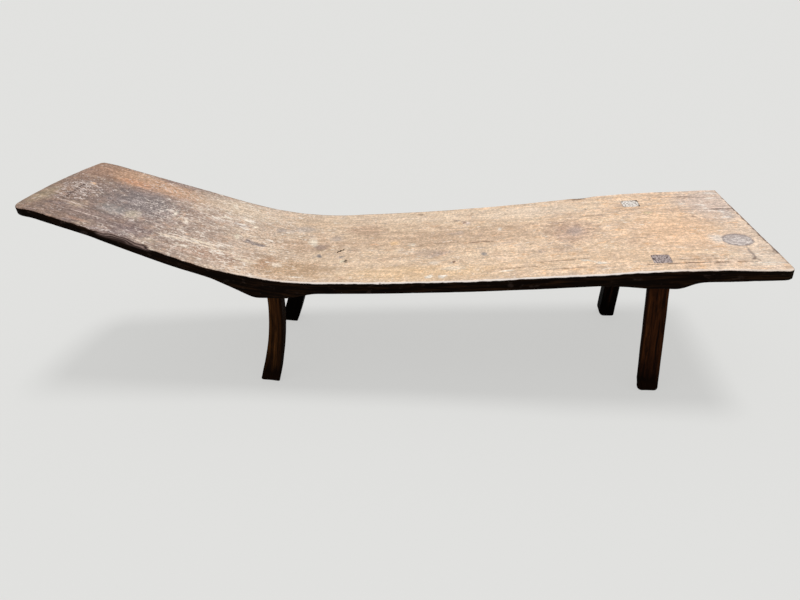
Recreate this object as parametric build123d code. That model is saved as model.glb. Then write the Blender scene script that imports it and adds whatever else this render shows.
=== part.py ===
from build123d import *
import os
from dataclasses import dataclass
from math import radians, tan

# Senufo daybed: one wide plank hewn to a raised headrest, on four short legs.
# X runs along the bed with the head end at -X, Z is up and the floor is z = 0.
# The origin lies on the floor under the middle of the bed. Left and right are
# those of somebody lying on it, so the left side is +Y. All sizes are in mm.

# ---- Driving dimensions ----

# Plank, seen from above.
bed_length = 2044.0
head_width = 420.0
middle_width = 503.0
foot_width = 548.0
left_head_setback = 42.0       # both ends are cut a little askew: how far the
right_head_setback = 8.0       # corners stand back from where each end reaches
left_foot_setback = 18.0       # furthest
head_crest_offset = -82.0      # across the bed, where the head end reaches furthest
head_corner_radius = 12.0
foot_corner_radius = 8.0

# Plank, top line in side view. Reaches are measured from the head end.
seat_height = 357.5
head_height = 586.0
foot_height = 395.5
lip_reach = 63.0               # level lip at the top of the headrest
seat_reach = 691.0             # where the headrest's slope would meet the seat
rise_reach = 1235.0            # where the seat starts to rise to the foot end
crest_reach = 1735.0           # where that rise ends
lip_radius = 220.0
seat_bend_radius = 1020.0
rise_radius = 6300.0

# Plank, thickness from the top line down.
head_end_thickness = 21.5
lip_thickness = 26.0
headrest_thickness = 33.0
board_thickness = 30.0
foot_end_thickness = 26.0
head_boss_thickness = 58.0     # hewn swelling that takes the head legs
foot_boss_thickness = 48.0     # the same for the foot legs

# Bosses, along the bed. A land is the flat that a pair of shoulders bears on.
head_land_front_margin = 10.0  # from the leg nearer the head to the land's end
head_land_back_margin = 32.0
foot_land_front_margin = 6.0
foot_land_back_margin = 10.0
head_boss_front_run = 113.0    # slope from the board down to the land
head_boss_back_run = 76.0
foot_boss_front_run = 105.0
foot_boss_back_run = 38.0
toe_radius = 160.0
flank_radius = 60.0
belly_radius = 5200.0

# Edges of the plank: worn round on top, trimmed with the adze underneath.
top_edge_radius = 4.0
under_edge_chamfer = 2.5

# Legs, along the bed, at the middle of their shoulders.
head_leg_reach = 727.5         # of the right one, from the head end
head_leg_stagger = 13.5        # the left one stands this much nearer the head
foot_leg_overhang = 284.0      # of the right one, from the foot end
foot_leg_stagger = 12.0
right_head_leg_rake = 75.0     # how far the sole lies nearer the head end
left_head_leg_rake = 102.0
right_foot_leg_rake = -7.0
left_foot_leg_rake = 32.0
head_leg_bow = 14.5            # curve of the head legs at mid height

# Legs, across the bed.
right_head_leg_inset = 30.0    # from the plank's side to the leg's outer face
left_head_leg_inset = 53.0
right_foot_leg_inset = 45.0
left_foot_leg_inset = 60.0
right_foot_leg_splay = 9.0     # how much further out the sole stands
left_foot_leg_splay = 6.0

# Legs, cross sections.
right_head_leg_top_width = 41.0
right_head_leg_middle_width = 45.5
right_head_leg_sole_width = 61.0
right_head_leg_depth = 42.0
left_head_leg_top_width = 46.0
left_head_leg_middle_width = 54.0
left_head_leg_sole_width = 62.0
left_head_leg_depth = 50.0
right_foot_leg_top_width = 47.0
right_foot_leg_sole_width = 49.0
right_foot_leg_depth = 47.0
left_foot_leg_top_width = 48.0
left_foot_leg_sole_width = 50.0
left_foot_leg_depth = 50.0
leg_edge_radius = 8.0
sole_edge_chamfer = 3.0

# Mortise and tenon joints. The foot tenons run through the plank and end flush
# with its top. The head tenons stop inside the boss.
foot_tenon_shoulder = 1.5      # how far the leg stands proud of its tenon
head_tenon_shoulder = 5.0
head_tenon_length = 36.0
mortise_floor_gap = 2.0
tenon_clearance = 0.3          # on each face
tenon_edge_radius = 3.0
worn_tenon_radius = 15.0       # foot side of the left foot tenon

head_end = -bed_length / 2
foot_end = bed_length / 2
head_leg_station = head_end + head_leg_reach
foot_leg_station = foot_end - foot_leg_overhang


# ---- Lines of the plank ----


def blended_line(points, radii):
    """Polyline in side view with tangent arcs, none longer than its runs allow."""
    fitting = []
    for before, corner, after, radius in zip(points, points[1:], points[2:], radii):
        first_run = Vector(*corner) - Vector(*before)
        second_run = Vector(*after) - Vector(*corner)
        turn = radians(first_run.get_angle(second_run))
        shorter_run = min(first_run.length, second_run.length)
        fitting.append(min(radius, 0.48 * shorter_run / tan(turn / 2)))
    return FilletPolyline(*points, radius=fitting)


def point_on(line, x):
    """Point of a line at station x, found by halving. The line runs towards +X."""
    low = 0.0
    high = 1.0
    for _ in range(30):
        middle = (low + high) / 2
        if (line @ middle).X < x:
            low = middle
        else:
            high = middle
    return line @ low


top_line = blended_line(
    [
        (head_end, 0, head_height),
        (head_end + lip_reach, 0, head_height),
        (head_end + seat_reach, 0, seat_height),
        (head_end + rise_reach, 0, seat_height),
        (head_end + crest_reach, 0, foot_height),
        (foot_end, 0, foot_height),
    ],
    [lip_radius, seat_bend_radius, rise_radius, rise_radius],
)

left_side = ThreePointArc(
    (head_end + left_head_setback, head_width / 2, 0),
    (0, middle_width / 2, 0),
    (foot_end - left_foot_setback, foot_width / 2, 0),
)
right_side = ThreePointArc(
    (head_end + right_head_setback, -head_width / 2, 0),
    (0, -middle_width / 2, 0),
    (foot_end, -foot_width / 2, 0),
)


def below_top(x, thickness):
    """Point of the underside at station x, a given thickness below the top."""
    return (x, 0, point_on(top_line, x).Z - thickness)


# ---- Legs ----


@dataclass
class Leg:
    """Place and sizes of one leg, from its shoulder at the plank to its sole."""

    name: str
    side: int            # +1 left, -1 right
    station: float
    rake: float
    inset: float
    splay: float
    bow: float
    land_height: float
    widths: tuple        # along the bed: at the shoulder, half way if bowed, at the sole
    depth: float         # across the bed
    tenon_shoulder: float

    @property
    def shoulder(self):
        bed_side = left_side if self.side > 0 else right_side
        outer_face = abs(point_on(bed_side, self.station).Y) - self.inset
        return Vector(self.station, self.side * (outer_face - self.depth / 2), self.land_height)

    @property
    def sole(self):
        return Vector(self.shoulder.X - self.rake, self.shoulder.Y + self.side * self.splay, 0)

    @property
    def lean(self):
        """Direction of the tenon: along a straight leg, upright on a bowed one."""
        return Vector(0, 0, 1) if self.bow else (self.shoulder - self.sole).normalized()


head_land_height = below_top(head_leg_station, head_boss_thickness)[2]
foot_land_height = below_top(foot_leg_station, foot_boss_thickness)[2]

right_head_leg = Leg(
    name="right_head_leg",
    side=-1,
    station=head_leg_station,
    rake=right_head_leg_rake,
    inset=right_head_leg_inset,
    splay=0.0,
    bow=head_leg_bow,
    land_height=head_land_height,
    widths=(right_head_leg_top_width, right_head_leg_middle_width, right_head_leg_sole_width),
    depth=right_head_leg_depth,
    tenon_shoulder=head_tenon_shoulder,
)
left_head_leg = Leg(
    name="left_head_leg",
    side=1,
    station=head_leg_station - head_leg_stagger,
    rake=left_head_leg_rake,
    inset=left_head_leg_inset,
    splay=0.0,
    bow=head_leg_bow,
    land_height=head_land_height,
    widths=(left_head_leg_top_width, left_head_leg_middle_width, left_head_leg_sole_width),
    depth=left_head_leg_depth,
    tenon_shoulder=head_tenon_shoulder,
)
right_foot_leg = Leg(
    name="right_foot_leg",
    side=-1,
    station=foot_leg_station,
    rake=right_foot_leg_rake,
    inset=right_foot_leg_inset,
    splay=right_foot_leg_splay,
    bow=0.0,
    land_height=foot_land_height,
    widths=(right_foot_leg_top_width, None, right_foot_leg_sole_width),
    depth=right_foot_leg_depth,
    tenon_shoulder=foot_tenon_shoulder,
)
left_foot_leg = Leg(
    name="left_foot_leg",
    side=1,
    station=foot_leg_station - foot_leg_stagger,
    rake=left_foot_leg_rake,
    inset=left_foot_leg_inset,
    splay=left_foot_leg_splay,
    bow=0.0,
    land_height=foot_land_height,
    widths=(left_foot_leg_top_width, None, left_foot_leg_sole_width),
    depth=left_foot_leg_depth,
    tenon_shoulder=foot_tenon_shoulder,
)
head_legs = [right_head_leg, left_head_leg]
foot_legs = [right_foot_leg, left_foot_leg]


def long_edge(leg, direction):
    """Edge of a leg on its head side (-1) or foot side (+1), in side view."""
    top_width, middle_width, sole_width = leg.widths
    start = (leg.shoulder.X + direction * top_width / 2, 0, leg.shoulder.Z)
    end = (leg.sole.X + direction * sole_width / 2, 0, 0)
    if not leg.bow:
        return Line(start, end)
    middle = (leg.shoulder + leg.sole) / 2
    bulge = (middle.X + leg.bow + direction * middle_width / 2, 0, middle.Z)
    return ThreePointArc(start, bulge, end)


def leg_body(leg):
    """The leg below its shoulder: side view crossed with end view, edges eased."""
    head_edge = long_edge(leg, -1)
    foot_edge = long_edge(leg, 1)
    shoulder_edge = Line(head_edge @ 0, foot_edge @ 0)
    sole_edge = Line(head_edge @ 1, foot_edge @ 1)
    side_face = make_face([head_edge, foot_edge, shoulder_edge, sole_edge])
    side_view = extrude(side_face, amount=foot_width, both=True, dir=(0, 1, 0))

    half = leg.depth / 2
    end_outline = Polyline(
        (0, leg.shoulder.Y - half, leg.shoulder.Z),
        (0, leg.shoulder.Y + half, leg.shoulder.Z),
        (0, leg.sole.Y + half, 0),
        (0, leg.sole.Y - half, 0),
        close=True,
    )
    end_view = extrude(make_face(end_outline), amount=bed_length, both=True, dir=(1, 0, 0))

    body = side_view & end_view
    long_edges = [e for e in body.edges() if e.bounding_box().size.Z > leg.shoulder.Z / 2]
    body = fillet(long_edges, leg_edge_radius)
    return chamfer(body.faces().sort_by(Axis.Z)[0].edges(), sole_edge_chamfer)


def tenon_bar(leg, reach, start=0.0, growth=0.0, foot_side_radius=tenon_edge_radius):
    """Bar with the tenon's section along the tenon, from start to reach above the land."""
    width = leg.widths[0] - 2 * leg.tenon_shoulder + 2 * growth
    depth = leg.depth - 2 * leg.tenon_shoulder + 2 * growth
    section = Rectangle(width, depth)
    section = fillet(section.vertices().group_by(Axis.X)[-1], foot_side_radius + growth)
    section = fillet(section.vertices().group_by(Axis.X)[0], tenon_edge_radius + growth)
    seat = Plane(origin=leg.shoulder, x_dir=(1, 0, 0), z_dir=leg.lean)
    return extrude(seat.offset(start) * section, amount=reach - start)


# ---- Plank ----


def under_line():
    """Underside of the plank in side view, with the two bosses that take the legs."""

    def land_ends(legs, front_margin, back_margin):
        front = min(leg.station - leg.widths[0] / 2 for leg in legs) - front_margin
        back = max(leg.station + leg.widths[0] / 2 for leg in legs) + back_margin
        return front, back

    head_front, head_back = land_ends(head_legs, head_land_front_margin, head_land_back_margin)
    foot_front, foot_back = land_ends(foot_legs, foot_land_front_margin, foot_land_back_margin)
    points = [
        (head_end, 0, head_height - head_end_thickness),
        (head_end + lip_reach, 0, head_height - lip_thickness),
        below_top(head_front - head_boss_front_run, headrest_thickness),
        (head_front, 0, head_land_height),
        (head_back, 0, head_land_height),
        below_top(head_back + head_boss_back_run, headrest_thickness),
        (head_end + rise_reach, 0, seat_height - board_thickness),
        below_top(foot_front - foot_boss_front_run, board_thickness),
        (foot_front, 0, foot_land_height),
        (foot_back, 0, foot_land_height),
        below_top(foot_back + foot_boss_back_run, board_thickness),
        (foot_end, 0, foot_height - foot_end_thickness),
    ]
    boss_radii = [toe_radius, flank_radius, flank_radius, toe_radius]
    return blended_line(points, [lip_radius, *boss_radii, belly_radius, *boss_radii])


def plank_blank():
    """The plank before its edges are eased: its side view crossed with its plan."""
    under = under_line()
    ends = [Line(under @ 0, top_line @ 0), Line(top_line @ 1, under @ 1)]
    side_face = make_face(top_line.edges() + under.edges() + ends)
    side_view = extrude(side_face, amount=foot_width, both=True, dir=(0, 1, 0))

    head_bow = ThreePointArc(left_side @ 0, (head_end, head_crest_offset, 0), right_side @ 0)
    foot_cut = Line(right_side @ 1, left_side @ 1)
    plan = make_face([left_side.edge(), right_side.edge(), head_bow.edge(), foot_cut.edge()])
    plan = fillet(plan.vertices().sort_by(Axis.X)[:2], head_corner_radius)
    plan = fillet(plan.vertices().sort_by(Axis.X)[-2:], foot_corner_radius)
    return side_view & extrude(plan, amount=2 * head_height, dir=(0, 0, 1))


def rim_edges(solid, line):
    """Edges where the plank's sides and ends meet the surface along a side-view line."""
    rim = []
    end_zone = 15.0
    for edge in solid.edges():
        middle = edge @ 0.5
        on_surface = abs(middle.Z - point_on(line, middle.X).Z) < 0.5
        at_an_end = min(middle.X - head_end, foot_end - middle.X) < end_zone
        crosses_bed = abs(middle.Y) < 1 and not at_an_end
        if on_surface and not crosses_bed:
            rim.append(edge)
    return rim


blank = plank_blank()

plank = chamfer(rim_edges(blank, under_line()), under_edge_chamfer)
plank = fillet(rim_edges(plank, top_line), top_edge_radius)
for leg in head_legs:
    depth = head_tenon_length + mortise_floor_gap
    plank -= tenon_bar(leg, start=-mortise_floor_gap, reach=depth, growth=tenon_clearance)
for leg in foot_legs:
    past_top = 2 * foot_boss_thickness
    plank -= tenon_bar(leg, start=-past_top, reach=past_top, growth=tenon_clearance)

solids = {"plank": plank}
for leg in head_legs:
    solids[leg.name] = leg_body(leg) + tenon_bar(leg, reach=head_tenon_length)
for leg in foot_legs:
    worn = worn_tenon_radius if leg is left_foot_leg else tenon_edge_radius
    tenon = tenon_bar(leg, reach=2 * foot_boss_thickness, foot_side_radius=worn) & blank
    solids[leg.name] = leg_body(leg) + tenon

os.makedirs("parts", exist_ok=True)
for name, solid in solids.items():
    export_step(solid, f"parts/{name}.step")
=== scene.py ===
from math import radians

import bmesh
import bpy
import numpy as np
from mathutils import Matrix, Vector, noise
from mathutils.bvhtree import BVHTree


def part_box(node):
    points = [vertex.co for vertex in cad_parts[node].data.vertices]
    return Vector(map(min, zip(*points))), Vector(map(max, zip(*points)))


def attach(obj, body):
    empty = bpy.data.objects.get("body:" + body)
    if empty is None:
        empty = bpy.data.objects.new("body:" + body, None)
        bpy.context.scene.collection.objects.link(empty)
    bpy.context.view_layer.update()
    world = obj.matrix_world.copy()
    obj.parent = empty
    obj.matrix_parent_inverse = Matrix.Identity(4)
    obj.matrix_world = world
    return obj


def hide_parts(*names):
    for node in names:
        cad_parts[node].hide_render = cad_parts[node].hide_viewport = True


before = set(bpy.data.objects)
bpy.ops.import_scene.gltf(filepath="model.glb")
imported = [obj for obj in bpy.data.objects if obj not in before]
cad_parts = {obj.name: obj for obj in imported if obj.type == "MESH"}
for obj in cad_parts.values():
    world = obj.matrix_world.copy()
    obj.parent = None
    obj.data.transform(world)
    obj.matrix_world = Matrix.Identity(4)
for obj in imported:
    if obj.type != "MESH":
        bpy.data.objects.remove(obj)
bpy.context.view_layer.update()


# ---- Room ----
# A pale seamless studio floor under one broad overhead lamp and an even grey
# room. The camera stands by the right-hand side and looks down over the bed.

scene = bpy.context.scene
scene.view_settings.view_transform = "Standard"


def linear(red, green, blue):
    """Linear colour of three 8-bit values, as paint swatches give them."""
    swatch = np.array([red, green, blue]) / 255
    return (*np.where(swatch > 0.04045, ((swatch + 0.055) / 1.055) ** 2.4, swatch / 12.92), 1)


class Value:
    """What a node gives out. Arithmetic on it adds Math nodes, node() any other."""

    def __init__(self, socket):
        self.socket = socket

    def node(self, kind, settings=None, inputs=None, out=0):
        """Adds a node in the same material: settings first, then values or links."""
        new = self.socket.id_data.nodes.new(kind)
        for setting, value in (settings or {}).items():
            if setting == "stops":
                ramp = new.color_ramp.elements
                while len(ramp) < len(value):
                    ramp.new(1)
                for stop, (position, colour) in zip(ramp, value):
                    stop.position = position
                    stop.color = colour
            else:
                setattr(new, setting, value)
        for name, value in (inputs or {}).items():
            if isinstance(value, Value):
                self.socket.id_data.links.new(value.socket, new.inputs[name])
            else:
                new.inputs[name].default_value = value
        return Value(new.outputs[out]) if len(new.outputs) else None

    def math(self, operation, *others):
        inputs = dict(enumerate((self, *others)))
        return self.node("ShaderNodeMath", {"operation": operation}, inputs)

    def __add__(self, other):
        return self.math("ADD", other)

    __radd__ = __add__

    def __mul__(self, other):
        return self.math("MULTIPLY", other)

    __rmul__ = __mul__

    def __sub__(self, other):
        return self.math("SUBTRACT", other)

    def __rsub__(self, other):
        return self.node("ShaderNodeMath", {"operation": "SUBTRACT"}, {0: other, 1: self})

    def __truediv__(self, other):
        return self.math("DIVIDE", other)


def new_material(name, start, out=0):
    """An empty material with its first node, whose output starts the rest."""
    material = bpy.data.materials.new(name)
    material.use_nodes = True
    material.node_tree.nodes.clear()
    return material, Value(material.node_tree.nodes.new(start).outputs[out])


def mix(factor, first, second):
    """Colour between the first and the second, each a Value or an 8-bit swatch."""
    ends = [end if isinstance(end, Value) else linear(*end) for end in (first, second)]
    inputs = {0: factor, 6: ends[0], 7: ends[1]}
    return factor.node("ShaderNodeMix", {"data_type": "RGBA"}, inputs, out=2)


backdrop_colour = linear(226, 226, 224)
room_light = 0.42
lamp_strength = 1.765
lamp_spread = radians(17)
lamp_lean = (radians(-5.5), radians(12), 0)

world = bpy.data.worlds.new("room")
scene.world = world
world.use_nodes = True
world.node_tree.nodes.clear()
seen = Value(world.node_tree.nodes.new("ShaderNodeLightPath").outputs["Is Camera Ray"])
even_grey = seen.node("ShaderNodeBackground", {}, {"Color": (1, 1, 1, 1), "Strength": room_light})
pale = seen.node("ShaderNodeBackground", {}, {"Color": backdrop_colour, "Strength": 1.0})
surround = seen.node("ShaderNodeMixShader", {}, {0: seen, 1: even_grey, 2: pale})
surround.node("ShaderNodeOutputWorld", {}, {"Surface": surround})

bpy.ops.object.light_add(type="SUN", location=(0, 0, 3), rotation=lamp_lean)
lamp = bpy.context.object
lamp.name = "overhead_lamp"
lamp.data.energy = lamp_strength
lamp.data.angle = lamp_spread

floor_size = 160
floor_glow = 0.71

bpy.ops.mesh.primitive_plane_add(size=floor_size)
floor = bpy.context.object
floor.name = "floor"
material, seen = new_material("floor_paint", "ShaderNodeLightPath")
paint = seen.node("ShaderNodeBsdfDiffuse", {}, {"Color": linear(228, 228, 226)})
glow = seen.node("ShaderNodeEmission", {}, {"Color": backdrop_colour})
lit = seen.node("ShaderNodeMixShader", {}, {0: seen * floor_glow, 1: paint, 2: glow})
lit.node("ShaderNodeOutputMaterial", {}, {"Surface": lit})
floor.data.materials.append(material)

eye = Vector((0.3182, -1.6206, 1.1047))
aim = Vector((-0.02136, 0.28143, 0.0))
camera_roll = -0.0939

bpy.ops.object.camera_add(location=eye)
camera = bpy.context.object
camera.name = "camera"
camera.data.lens = 27.0
camera.data.sensor_width = 36.0
camera.rotation_euler = (
    (aim - eye).to_track_quat("-Z", "Y").to_matrix() @ Matrix.Rotation(camera_roll, 3, "Z")
).to_euler()
scene.camera = camera


# ---- Plank ----
# One wide board, split from a hardwood trunk and hewn with the adze down to a
# raised headrest. Its top is worn smooth; the sides and the underside are dark
# with handling and smoke and still show the cuts. Two swellings take the legs.


def hewn_block(name, cells_along, cells_across, rings):
    """A block to be shaped: a grid drawn down to a depth of 1 and ringed."""
    bpy.ops.mesh.primitive_grid_add(x_subdivisions=cells_along, y_subdivisions=cells_across, size=2)
    block = bpy.context.object
    block.name = name
    bpy.ops.object.mode_set(mode="EDIT")
    bpy.ops.mesh.select_all(action="SELECT")
    bpy.ops.mesh.extrude_region_move(TRANSFORM_OT_translate={"value": (0, 0, -1)})
    bpy.ops.mesh.select_all(action="DESELECT")
    bpy.ops.mesh.select_mode(type="EDGE")
    shell = bmesh.from_edit_mesh(block.data)
    for edge in shell.edges:
        edge.select = abs(edge.verts[0].co.z - edge.verts[1].co.z) > 0.5
    bmesh.update_edit_mesh(block.data)
    bpy.ops.mesh.subdivide_edgering(number_cuts=rings - 1, interpolation="LINEAR")
    bpy.ops.mesh.select_all(action="SELECT")
    bpy.ops.mesh.normals_make_consistent(inside=False)
    bpy.ops.object.mode_set(mode="OBJECT")
    return block


def points_of(piece):
    """A piece's points, one to a row."""
    points = np.empty(len(piece.data.vertices) * 3)
    piece.data.vertices.foreach_get("co", points)
    return points.reshape(-1, 3)


def put_points(piece, points):
    """Moves a piece's points."""
    piece.data.vertices.foreach_set("co", np.ascontiguousarray(points).ravel())
    piece.data.update()


def solid_of(node):
    """Ray target of a CAD node."""
    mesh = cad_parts[node].data
    return BVHTree.FromPolygons(
        [v.co for v in mesh.vertices], [p.vertices for p in mesh.polygons]
    )


def ripple(places, scale, seed):
    """Smooth noise, about -1 to 1, at places stretched by scale."""
    stretched = np.asarray(places) * np.asarray(scale) + seed
    return np.array([noise.noise(Vector(p)) for p in stretched]) * 1.6


def adze_cuts(places, scale, seed):
    """Shallow scoops side by side, from 0 in a scoop's middle to about 1 at its rim."""
    stretched = np.asarray(places) * np.asarray(scale) + seed
    return np.array([min(noise.voronoi(Vector(p))[0][0], 1.0) for p in stretched])


def round_corner(to_end, to_side, radius):
    """Distances to an end and a side, moved so that the corner is an arc."""
    a = np.clip(1 - to_end / radius, 0, 1)
    b = np.clip(1 - to_side / radius, 0, 1)
    eased_a = a * np.sqrt(1 - b * b / 2)
    eased_b = b * np.sqrt(1 - a * a / 2)
    return to_end + (a - eased_a) * radius, to_side + (b - eased_b) * radius


plank_cells_along = 400
plank_cells_across = 92
plank_rings = 11
rim_rings = 3
rim_radius = 0.004
worn_rim_radius = 0.0085
end_rim_radius = 0.0035
rim_unevenness = 0.001
end_blend = 0.03
under_chamfer = 0.0025

# Rounding of the corners, right and left.
head_corners = (0.042, 0.01)
foot_corners = (0.022, 0.005)

# Both ends are cut a little askew: how far their corners stand back, and where
# across the bed, from -1 to 1, the head end reaches furthest.
head_setback_right = 0.011
head_setback_left = 0.042
foot_setback_left = 0.018
head_crest = -0.39
setback_fade = 0.3

# Where the worn headrest starts along the bed, and over what length.
headrest_start = -0.64
headrest_blend = 0.03

plank_cad = solid_of("plank")
plank_low, plank_high = (np.array(corner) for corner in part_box("plank"))

# Rays measure the CAD plank at stations clear of its rounded ends, and a hair off
# its middle, where faces meet.
stations = np.linspace(plank_low[0] + 0.0215, plank_high[0] - 0.016, 1600)
side_stations = np.linspace(plank_low[0] + 0.06, plank_high[0] - 0.03, 200)
off_seam = 0.0007
top_smoothing = 16
under_smoothing = 5


def height_at(x, up):
    """Height of the CAD plank's underside, seen from below, or of its top."""
    start = Vector((x, off_seam, -1 if up else 2))
    return plank_cad.ray_cast(start, Vector((0, 0, 1 if up else -1)))[0].z


def half_width_at(x, z):
    """How far the CAD plank's left side stands out at a place."""
    return plank_cad.ray_cast(Vector((x, 1, z)), Vector((0, -1, 0)))[0].y


def smoothed(heights, reach):
    """Running mean over a number of stations, true to the slope at both ends."""
    start = 2 * heights[0] - heights[reach:0:-1]
    end = 2 * heights[-1] - heights[-2 : -reach - 2 : -1]
    padded = np.concatenate([start, heights, end])
    kernel = np.ones(2 * reach + 1) / (2 * reach + 1)
    return np.convolve(padded, kernel, "valid")


top_heights = smoothed(np.array([height_at(x, False) for x in stations]), top_smoothing)
under_heights = smoothed(np.array([height_at(x, True) for x in stations]), under_smoothing)

side_heights = np.interp(side_stations, stations, (top_heights + under_heights) / 2)
half_widths = np.array([half_width_at(x, z) for x, z in zip(side_stations, side_heights)])
side_curve = np.polyfit(side_stations, half_widths, 3)

# Rays measure a leg at heights just inside its ends.
skin = 0.0004
crown_slice = 0.002
tenon_top_margin = 0.006
tenon_foot_margin = 0.003
sole_margin = 0.0032
body_section_count = 30


def sections_of(leg_name):
    """Height of a leg's shoulder, and sections down the CAD leg: z, x0, x1, y0, y1."""
    leg_cad = solid_of(leg_name)
    points = [v.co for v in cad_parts[leg_name].data.vertices]
    crown = max(p.z for p in points)
    tenon_end = [p for p in points if p.z > crown - crown_slice]
    middle = sum(tenon_end, Vector()) / len(tenon_end)
    land = height_at(middle.x, True)
    tenon_heights = [crown - tenon_top_margin, land + tenon_foot_margin]
    body_heights = np.append(np.linspace(land - skin, sole_margin, body_section_count), skin)
    sections = []
    for height in [*tenon_heights, *body_heights]:
        section = [height]
        for ahead in (Vector((1, 0, 0)), Vector((0, 1, 0))):
            origin = Vector((middle.x, middle.y, height))
            near = leg_cad.ray_cast(origin - ahead, ahead)[0].dot(ahead)
            far = leg_cad.ray_cast(origin + ahead, -ahead)[0].dot(ahead)
            middle += ((near + far) / 2 - middle.dot(ahead)) * ahead
            section += [near, far]
        sections.append(section)
    return land, np.array(sections[:2]), np.array(sections[2:])


leg_names = ("right_head_leg", "left_head_leg", "right_foot_leg", "left_foot_leg")
leg_sections = {name: sections_of(name) for name in leg_names}


def box_between(heights, sections):
    """Faces x0, x1, y0, y1 at heights, in line with the sections."""
    low, high = sections[-1], sections[0]
    part = ((heights - low[0]) / (high[0] - low[0]))[:, None]
    return (low[1:] + part * (high[1:] - low[1:])).T


def bar_points(block_points, faces, edge_radius):
    """Block points on a bar between four faces, its long edges rounded."""
    x0, x1, y0, y1 = faces
    half_x, half_y = (x1 - x0) / 2, (y1 - y0) / 2
    x, y = block_points[:, 0] * half_x, block_points[:, 1] * half_y
    to_end, to_side = half_x - np.abs(x), half_y - np.abs(y)
    new_end, new_side = round_corner(to_end, to_side, edge_radius)
    x = (np.abs(x) + to_end - new_end) * np.sign(x) + (x0 + x1) / 2
    y = (np.abs(y) + to_side - new_side) * np.sign(y) + (y0 + y1) / 2
    return x, y


def crowded(places, share):
    """Places from -1 to 1, finer spaced towards both ends."""
    return places + share * np.sin(np.pi * places) / np.pi


plank = hewn_block("plank_wood", plank_cells_along, plank_cells_across, plank_rings)
u, v, depth = points_of(plank).T
ring = np.rint(-depth * plank_rings).astype(int)
under = ring == plank_rings

v_eased = crowded(v, 0.45)
u_eased = crowded(u, 0.12)

x_rough = u_eased * plank_high[0]
right_side = v < 0
on_headrest = 1 / (1 + np.exp((x_rough - headrest_start) / headrest_blend))
rounder = (worn_rim_radius - rim_radius) * on_headrest * np.where(right_side, 1.0, 0.6)
radius = rim_radius + rounder
radius = radius + rim_unevenness * ripple(np.stack([x_rough, v, 0 * v], 1), (14, 2, 1), 3.0)
near_end = np.clip(1 - (plank_high[0] - np.abs(x_rough)) / end_blend, 0, 1)
radius = radius + (end_rim_radius - radius) * near_end

turn = np.pi / 2 * np.clip(ring / rim_rings, 0, 1)
inset = np.where(ring <= rim_rings, radius * (1 - np.sin(turn)), 0)
inset = np.where(under, under_chamfer, inset)


def setbacks(across):
    """How far the head end and the foot end stand back, across from -1 to 1."""
    off_crest = across - head_crest
    to_left = head_setback_left * (off_crest / (1 - head_crest)) ** 2
    to_right = head_setback_right * (off_crest / (1 + head_crest)) ** 2
    return np.where(off_crest > 0, to_left, to_right), foot_setback_left * (across + 1) / 2


# The right side as hewn, in pairs of a place along it and, there, how far it is
# drawn in, how much further its top edge is, and how far its lower edge hangs.
waist = [
    (-0.15, 0), (0, 0.002), (0.12, 0.0045), (0.2, 0.0045), (0.3, 0.0025),
    (0.38, 0.001), (0.45, 0),
]
batter = [
    (-0.46, 0), (-0.41, 0.004), (-0.36, 0.005), (-0.28, 0.003), (0.15, 0.0025),
    (0.28, 0.0048), (0.42, 0.0055), (0.5, 0.0045), (0.57, 0), (0.62, 0),
    (0.66, 0.0035), (0.78, 0.0042), (0.9, 0.003), (0.94, 0),
]
lip = [
    (-0.9, 0), (-0.84, -0.002), (-0.79, -0.0032), (-0.75, -0.001), (-0.66, 0.0022),
    (-0.585, 0.0042), (-0.54, 0.004), (-0.5, 0.002), (-0.42, 0), (0.36, 0),
    (0.465, 0.002), (0.6, 0.003), (0.65, 0), (0.73, 0), (0.79, 0.0028),
    (0.9, 0.0022), (1.02, 0.0008),
]


def hewn_at(x, pairs):
    """What the pairs say at places along the bed, in line between them."""
    return np.interp(x, *zip(*pairs))


wall = np.clip((ring - rim_rings) / (plank_rings - 1 - rim_rings), 0, 1)
x = -plank_high[0] + inset + (u_eased + 1) * (plank_high[0] - inset)
head_fade = np.clip(1 - (x + plank_high[0]) / setback_fade, 0, 1) ** 2
foot_fade = np.clip(1 - (plank_high[0] - x) / setback_fade, 0, 1) ** 2
head_back, foot_back = setbacks(v_eased)
x = x + head_back * head_fade - foot_back * foot_fade
drawn_in = hewn_at(x, waist) + hewn_at(x, batter) * (1 - wall)
half = np.polyval(side_curve, x) - inset - np.where(right_side, drawn_in, 0)
y = v_eased * half

# Wear and the hand-hewn line of the sides, always inwards.
long_wander = 0.0005
short_wander = 0.0004
nick_share = 0.45
nick_depth = 0.0012
headrest_nick_depth = 0.0024

sides = np.stack([x, np.where(right_side, -1.0, 1.0), -depth * 0.05], 1)
wander = long_wander * (1 + ripple(sides, (6, 1, 30), 11.0))
wander = wander + short_wander * (1 + ripple(sides, (22, 1, 60), 5.0))
edge_part = np.clip(np.abs(v_eased) * 6 - 5, 0, 1)
nicks = np.clip(ripple(sides, (70, 1, 40), 17.0) - nick_share, 0, 1)
nicks = nicks * (nick_depth + headrest_nick_depth * on_headrest)
y = y - np.sign(v) * (wander + nicks) * edge_part

to_side = np.clip(half, 0, None) - np.abs(y)
corner = np.where(x < 0, np.where(right_side, *head_corners), np.where(right_side, *foot_corners))
head_back, foot_back = setbacks(y / np.maximum(half, 1e-6))
to_head = x + plank_high[0] - inset - head_back
to_foot = plank_high[0] - inset - foot_back - x
to_end = np.where(x < 0, to_head, to_foot)
new_end, new_side = round_corner(to_end, to_side, np.maximum(corner - inset, 0.001))
x = x + np.where(x < 0, new_end - to_end, to_end - new_end)
y = y - np.sign(y) * (new_side - to_side)

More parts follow.
